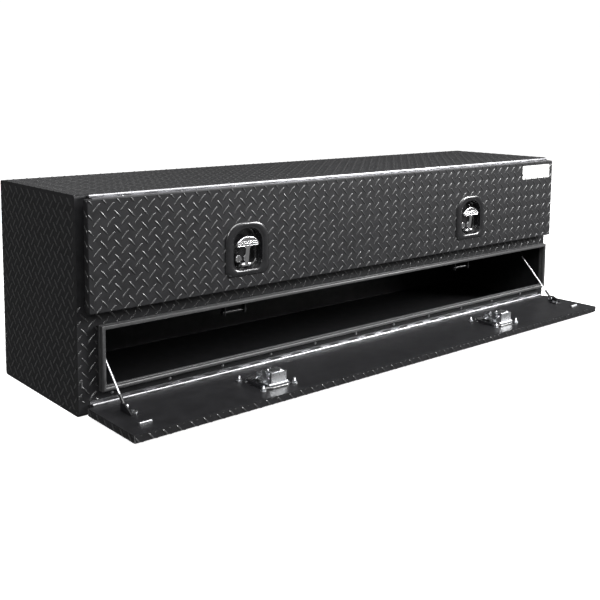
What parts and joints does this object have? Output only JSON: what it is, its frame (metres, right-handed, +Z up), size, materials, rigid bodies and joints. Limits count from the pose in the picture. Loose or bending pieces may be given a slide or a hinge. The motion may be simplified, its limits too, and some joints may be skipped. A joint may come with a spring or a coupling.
{
  "type": "truck tool box",
  "caption": "Long top-mount truck tool box in black tread plate, with an upper door that lifts and a lower door that drops down on wire cables.",
  "frame": {"origin": "middle of the underside of the box body", "axes": "+X along the box to the right as seen from its doors, +Y from the doors to the back, +Z up"},
  "size_m": [1.829, 0.648, 0.5227],
  "materials": {
    "black_tread_plate": "satin black powder coat over aluminium tread plate",
    "black_smooth_sheet": "satin black powder coat over smooth aluminium sheet",
    "hinge_steel": "brushed",
    "black_rubber": "smooth extruded rubber",
    "latch_bowl_black": "gloss black",
    "polished_steel": "polished",
    "zinc_plated_steel": "bright zinc plate",
    "wire_rope": "stranded wire",
    "black_painted_steel": "satin black",
    "strut_rod_chrome": "ground and chromed",
    "white_badge": "matte, blank"
  },
  "bodies": {
    "body": {"body_wrap": "black_tread_plate", "end_panel_left": "black_tread_plate", "end_panel_right": "black_tread_plate", "front_frame": "black_tread_plate", "divider_shelf": "black_smooth_sheet", "seal_upper": "black_rubber", "seal_lower": "black_rubber", "hinge_upper_body_leaf": "hinge_steel", "hinge_upper_pin": "hinge_steel", "hinge_lower_body_leaf": "hinge_steel", "hinge_lower_pin": "hinge_steel", "body_rivets": "hinge_steel", "strikers": "black_painted_steel", "strut_body_brackets": "black_painted_steel", "cable_anchors": "black_painted_steel", "cable_left": "wire_rope", "cable_right": "wire_rope"},
    "upper_door": {"upper_door_skin": "black_tread_plate", "upper_door_liner": "black_smooth_sheet", "hinge_upper_door_leaf": "hinge_steel", "upper_door_rivets": "hinge_steel", "strut_door_brackets": "black_painted_steel", "badge_plate": "white_badge", "upper_latch_gaskets": "black_rubber", "upper_latch_studs": "zinc_plated_steel", "upper_latch_pins": "zinc_plated_steel", "latch_upper_left_dish": "latch_bowl_black", "latch_upper_left_case": "zinc_plated_steel", "latch_upper_right_dish": "latch_bowl_black", "latch_upper_right_case": "zinc_plated_steel"},
    "lower_door": {"lower_door_skin": "black_tread_plate", "lower_door_liner": "black_smooth_sheet", "hinge_lower_door_leaf": "hinge_steel", "lower_door_rivets": "hinge_steel", "cable_brackets": "black_painted_steel", "cable_screws": "zinc_plated_steel", "stop_bars": "zinc_plated_steel", "lower_latch_gaskets": "black_rubber", "lower_latch_studs": "zinc_plated_steel", "lower_latch_pins": "zinc_plated_steel", "latch_lower_left_dish": "latch_bowl_black", "latch_lower_left_case": "zinc_plated_steel", "latch_lower_right_dish": "latch_bowl_black", "latch_lower_right_case": "zinc_plated_steel"},
    "upper_left_handle": {"latch_upper_left_whale_tail": "polished_steel"},
    "upper_left_lock": {"latch_upper_left_lock_plug": "polished_steel"},
    "upper_left_claw": {"latch_upper_left_claw": "zinc_plated_steel"},
    "upper_right_handle": {"latch_upper_right_whale_tail": "polished_steel"},
    "upper_right_lock": {"latch_upper_right_lock_plug": "polished_steel"},
    "upper_right_claw": {"latch_upper_right_claw": "zinc_plated_steel"},
    "lower_left_handle": {"latch_lower_left_whale_tail": "polished_steel"},
    "lower_left_lock": {"latch_lower_left_lock_plug": "polished_steel"},
    "lower_left_claw": {"latch_lower_left_claw": "zinc_plated_steel"},
    "lower_right_handle": {"latch_lower_right_whale_tail": "polished_steel"},
    "lower_right_lock": {"latch_lower_right_lock_plug": "polished_steel"},
    "lower_right_claw": {"latch_lower_right_claw": "zinc_plated_steel"},
    "strut_left_barrel": {"strut_left_cylinder": "black_painted_steel"},
    "strut_left_piston": {"strut_left_rod": "strut_rod_chrome"},
    "strut_right_barrel": {"strut_right_cylinder": "black_painted_steel"},
    "strut_right_piston": {"strut_right_rod": "strut_rod_chrome"}
  },
  "joints": [
    {"name": "upper_door_hinge", "type": "hinge", "parent": "body", "child": "upper_door", "pos_m": [0, -0.222, 0.5182], "axis": [-1, 0, 0], "range_deg": [0, 90]},
    {"name": "lower_door_hinge", "type": "hinge", "parent": "body", "child": "lower_door", "pos_m": [0, -0.222, 0.027], "axis": [-1, 0, 0], "range_deg": [0, 90], "deforming": ["cable_left", "cable_right", "seal_lower"]},
    {"name": "pull_upper_left_handle", "type": "hinge", "parent": "upper_door", "child": "upper_left_handle", "pos_m": [-0.451, -0.2355, 0.309], "axis": [1, 0, 0], "range_deg": [0, 35], "stiffness_Nm_per_rad": 0.35, "springref_deg": -20.05},
    {"name": "turn_upper_left_lock", "type": "hinge", "parent": "upper_door", "child": "upper_left_lock", "pos_m": [-0.47, -0.233, 0.325], "axis": [0, -1, 0], "range_deg": [0, 90]},
    {"name": "swing_upper_left_claw", "type": "hinge", "parent": "upper_door", "child": "upper_left_claw", "pos_m": [-0.451, -0.2095, 0.318], "axis": [-1, 0, 0], "range_deg": [0, 44], "stiffness_Nm_per_rad": 0.12, "springref_deg": -20.05},
    {"name": "pull_upper_right_handle", "type": "hinge", "parent": "upper_door", "child": "upper_right_handle", "pos_m": [0.451, -0.2355, 0.309], "axis": [1, 0, 0], "range_deg": [0, 35], "stiffness_Nm_per_rad": 0.35, "springref_deg": -20.05},
    {"name": "turn_upper_right_lock", "type": "hinge", "parent": "upper_door", "child": "upper_right_lock", "pos_m": [0.432, -0.233, 0.325], "axis": [0, -1, 0], "range_deg": [0, 90]},
    {"name": "swing_upper_right_claw", "type": "hinge", "parent": "upper_door", "child": "upper_right_claw", "pos_m": [0.451, -0.2095, 0.318], "axis": [-1, 0, 0], "range_deg": [0, 44], "stiffness_Nm_per_rad": 0.12, "springref_deg": -20.05},
    {"name": "pull_lower_left_handle", "type": "hinge", "parent": "lower_door", "child": "lower_left_handle", "pos_m": [-0.462, -0.384, 0.0135], "axis": [-1, 0, 0], "range_deg": [0, 35], "stiffness_Nm_per_rad": 0.35, "springref_deg": -20.05},
    {"name": "turn_lower_left_lock", "type": "hinge", "parent": "lower_door", "child": "lower_left_lock", "pos_m": [-0.443, -0.368, 0.016], "axis": [0, 0, -1], "range_deg": [0, 90]},
    {"name": "swing_lower_left_claw", "type": "hinge", "parent": "lower_door", "child": "lower_left_claw", "pos_m": [-0.462, -0.375, 0.0395], "axis": [1, 0, 0], "range_deg": [0, 44], "stiffness_Nm_per_rad": 0.12, "springref_deg": -20.05},
    {"name": "pull_lower_right_handle", "type": "hinge", "parent": "lower_door", "child": "lower_right_handle", "pos_m": [0.462, -0.384, 0.0135], "axis": [-1, 0, 0], "range_deg": [0, 35], "stiffness_Nm_per_rad": 0.35, "springref_deg": -20.05},
    {"name": "turn_lower_right_lock", "type": "hinge", "parent": "lower_door", "child": "lower_right_lock", "pos_m": [0.481, -0.368, 0.016], "axis": [0, 0, -1], "range_deg": [0, 90]},
    {"name": "swing_lower_right_claw", "type": "hinge", "parent": "lower_door", "child": "lower_right_claw", "pos_m": [0.462, -0.375, 0.0395], "axis": [1, 0, 0], "range_deg": [0, 44], "stiffness_Nm_per_rad": 0.12, "springref_deg": -20.05},
    {"name": "swing_strut_left", "type": "hinge", "parent": "body", "child": "strut_left_barrel", "pos_m": [-0.85, 0.0105, 0.3455], "axis": [1, 0, 0], "range_deg": [-2.11, 0]},
    {"name": "slide_strut_left", "type": "slide", "parent": "strut_left_barrel", "child": "strut_left_piston", "axis": [0, -0.899, 0.438], "range_m": [0, 0.0947]},
    {"name": "swing_strut_right", "type": "hinge", "parent": "body", "child": "strut_right_barrel", "pos_m": [0.85, 0.0105, 0.3455], "axis": [1, 0, 0], "range_deg": [-2.11, 0]},
    {"name": "slide_strut_right", "type": "slide", "parent": "strut_right_barrel", "child": "strut_right_piston", "axis": [0, -0.899, 0.438], "range_m": [0, 0.0947]}
  ],
  "couplings": [
    {"joint": "swing_strut_left", "follows": "upper_door_hinge", "ratio": -0.023294},
    {"joint": "slide_strut_left", "follows": "upper_door_hinge", "m_per_rad": 0.060281},
    {"joint": "swing_strut_right", "follows": "upper_door_hinge", "ratio": -0.023294},
    {"joint": "slide_strut_right", "follows": "upper_door_hinge", "m_per_rad": 0.060281}
  ]
}
